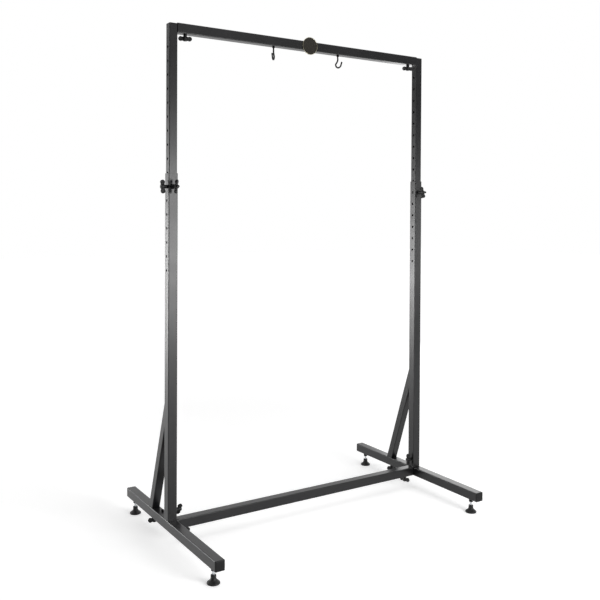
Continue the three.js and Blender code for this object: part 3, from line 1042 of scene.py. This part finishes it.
# Brown-black lacquer over the plate: smooth and fairly glossy, with a faint warm mottle about
# 6 mm across.
lacquer, shader = mottled_finish(
    "lacquered_plate",
    metallic=0.0,
    roughness=0.3,
    tones=("#110f0a", "#201c14"),
    sheen=(0.26, 0.4),
    patch_size=0.006,
    detail=5.0,
)
shader.inputs["IOR"].default_value = 1.4

# Nickel-plated brass, rolled, lightly brushed and dulled with age: a greyed, slightly olive metal
# with fine scratches about 0.5 mm apart.
scratch_gap = 0.0005
ring_metal, tree, shader, place = new_material("nickel_plated_brass", 1.0, 0.3)
brushed = add_node(
    tree, "ShaderNodeTexNoise", {"Vector": place, "Scale": 1 / scratch_gap, "Detail": 3.0}
)
tone = add_node(
    tree,
    "ShaderNodeMix",
    {0: brushed.outputs["Fac"], 6: linear("#8f8a74"), 7: linear("#b4ae98")},
    data_type="RGBA",
)
tree.links.new(tone.outputs[2], shader.inputs["Base Color"])

badge_low, badge_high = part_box("badge")
badge_seat = middle_of("badge")
badge_seat.y = badge_high.y
badge_place = Matrix.Translation(badge_seat) @ FACING_FRONT
badge_radius = (badge_high.x - badge_low.x) / 2
badge_steps = [
    (0.0002, 0.0), (0.0002, 0.0014), (0.0006, 0.0020), (0.0020, 0.0022), (0.0110, 0.0023),
    (0.0200, 0.0025), (0.0300, 0.0026),
]
badge_profile = [(badge_radius - inset, height) for inset, height in badge_steps]
badge_round = 0.0001
plate = turned("badge_plate", badge_profile, sides=72)
soften(plate, badge_round, segments=1)
seat_piece(plate, badge_place)
fit(plate, "upper_frame", ["badge"], lacquer)
ring_width = 0.0016
ring_height = 0.0014
ring_rise = 0.0022
bpy.ops.object.select_all(action="DESELECT")
bpy.ops.mesh.primitive_torus_add(
    major_segments=96,
    minor_segments=14,
    major_radius=badge_radius - ring_width / 2,
    minor_radius=ring_width / 2,
)
ring = bpy.context.object
ring.name = ring.data.name = "badge_ring"
bpy.ops.object.mode_set(mode="EDIT")
bpy.ops.mesh.select_all(action="SELECT")
bpy.ops.transform.resize(value=(1, 1, ring_height / ring_width), center_override=(0, 0, 0))
bpy.ops.transform.translate(value=(0, 0, ring_rise))
bpy.ops.object.mode_set(mode="OBJECT")
bpy.ops.object.shade_smooth()
seat_piece(ring, badge_place)
fit(ring, "upper_frame", ["badge"], ring_metal)


# Studio. A plain white floor and surround, a dark curtain behind the camera, wide softboxes in
# front on the right, behind and overhead, and the camera at eye level in front on the left.


def seen_by_eye(tree):
    """1 for a ray that sees the surface, straight, in a reflection or through glass, and 0 else."""
    path = add_node(tree, "ShaderNodeLightPath")
    seen = path.outputs["Is Camera Ray"]
    for kind in ("Is Glossy Ray", "Is Transmission Ray"):
        larger = add_node(
            tree, "ShaderNodeMath", {0: seen, 1: path.outputs[kind]}, operation="MAXIMUM"
        )
        seen = larger.outputs[0]
    return seen


# Matt white floor. What the lamps leave short of white is made up by a glow that only the eye sees,
# stronger away from the stand, so the stand's shadow stays near it.
white = "#ffffff"
floor_size = 40
near_glow = 0.40
far_glow = 0.68
near_distance = 2
far_distance = 6
floor_material, tree, shader, place = new_material("white_studio_floor", 0.0, 0.9)
shader.inputs["Base Color"].default_value = linear("#ececec")
away = add_node(tree, "ShaderNodeVectorMath", {0: place}, operation="LENGTH")
glow = add_node(
    tree,
    "ShaderNodeMapRange",
    {
        "Value": away.outputs["Value"],
        "From Min": near_distance,
        "From Max": far_distance,
        "To Min": near_glow,
        "To Max": far_glow,
    },
)
lift = add_node(
    tree,
    "ShaderNodeMath",
    {0: seen_by_eye(tree), 1: glow.outputs["Result"]},
    operation="MULTIPLY",
)
shader.inputs["Emission Color"].default_value = linear(white)
tree.links.new(lift.outputs[0], shader.inputs["Emission Strength"])

bpy.ops.object.select_all(action="DESELECT")
bpy.ops.mesh.primitive_plane_add(size=floor_size, location=(0, 0, 0))
floor = bpy.context.object
floor.name = "studio_floor"
floor.data.materials.append(floor_material)

# Charcoal curtain, an arc round the camera's side that only reflections show. It gives the dark
# coat something dark to mirror, as a photographer's black flags do.
curtain_material, _, shader, _ = new_material("charcoal_curtain", 0.0, 1.0)
shader.inputs["Base Color"].default_value = linear("#4a4a4a")
shader.inputs["Specular IOR Level"].default_value = 0.0
curtain_radius = 6.5
curtain_hem = 0.02
curtain_height = 3.4
curtain_start = math.radians(115)
curtain_end = math.radians(345)
bpy.ops.object.select_all(action="DESELECT")
bpy.ops.mesh.primitive_circle_add(
    vertices=96, radius=curtain_radius, location=(0, 0, curtain_hem)
)
curtain = bpy.context.object
curtain.name = "studio_curtain"
bpy.ops.object.transform_apply(location=True, rotation=True, scale=True)
bpy.ops.object.mode_set(mode="EDIT")
bpy.ops.mesh.select_all(action="DESELECT")
bpy.ops.object.mode_set(mode="OBJECT")
for vertex in curtain.data.vertices:
    angle = math.atan2(vertex.co.y, vertex.co.x) % (2 * math.pi)
    vertex.select = not curtain_start <= angle <= curtain_end
bpy.ops.object.mode_set(mode="EDIT")
bpy.ops.mesh.delete(type="VERT")
bpy.ops.mesh.select_all(action="SELECT")
bpy.ops.mesh.extrude_region_move(TRANSFORM_OT_translate={"value": (0, 0, curtain_height)})
bpy.ops.object.mode_set(mode="OBJECT")
curtain.data.materials.append(curtain_material)
curtain.visible_camera = False
curtain.visible_diffuse = False
curtain.visible_shadow = False

# White surround: plain white to the eye, and a soft light on the stand.
world_level = 0.4
world = bpy.data.worlds.new("studio")
bpy.context.scene.world = world
world.use_nodes = True
tree = world.node_tree
background = tree.nodes["Background"]
background.inputs["Color"].default_value = linear(white)
level = add_node(
    tree,
    "ShaderNodeMapRange",
    {"Value": seen_by_eye(tree), "To Min": world_level, "To Max": 1.0},
)
tree.links.new(level.outputs["Result"], background.inputs["Strength"])


def softbox(name, place, target, width, height, radiance):
    """A soft lamp of that size, aimed at a point."""
    bpy.ops.object.select_all(action="DESELECT")
    bpy.ops.object.light_add(type="AREA", location=place)
    lamp = bpy.context.object
    lamp.name = name
    lamp.rotation_euler = (Vector(target) - Vector(place)).to_track_quat("-Z", "Y").to_euler()
    lamp.data.shape = "RECTANGLE"
    lamp.data.size = width
    lamp.data.size_y = height
    lamp.data.energy = radiance * math.pi * width * height
    lamp.visible_camera = False
    return lamp


# Each lamp by its place, the point it is aimed at, its width and height, and its radiance.
softbox("front", (0.64, -3.0, 1.13), (-0.65, 0, 1.1), 1.3, 1.3, 15.2)
softbox("front_far_right", (3.2, -2.9, 1.15), (0.65, 0, 1.1), 1.2, 1.2, 4.4)
softbox("back_left", (-2.68, 4.74, 1.66), (-0.65, 0, 1.1), 1.0, 1.5, 2.3)
softbox("back_far_left", (-3.78, 4.55, 0.70), (0.65, 0, 0.9), 0.9, 1.3, 37.0)
softbox("back_right", (3.7, 2.7, 1.25), (0.65, 0, 0.1), 1.6, 1.5, 2.3)
softbox("overhead", (0.3, -0.6, 4.2), (0, 0, 0), 2.6, 2.6, 1.2)

# Camera, with the focal length and the height of the optical axis in pixels of a 600 pixel picture.
focal_px = 784.3
image_px = 600
axis_px = 223.8
sensor_width = 36
eye = (-1.926, -2.964, 1.360)
pan = math.radians(-32.61)
tilt = QUARTER - math.radians(0.83)
roll = 0.0053
camera = bpy.data.objects.new("camera", bpy.data.cameras.new("camera"))
bpy.context.scene.collection.objects.link(camera)
camera.data.sensor_width = sensor_width
camera.data.lens = focal_px / image_px * sensor_width
camera.data.shift_y = (axis_px - image_px / 2) / image_px
camera.matrix_world = (
    Matrix.Translation(eye)
    @ Matrix.Rotation(pan, 4, "Z")
    @ Matrix.Rotation(tilt, 4, "X")
    @ Matrix.Rotation(roll, 4, "Z")
)
bpy.context.scene.camera = camera
bpy.context.scene.view_settings.view_transform = "Standard"
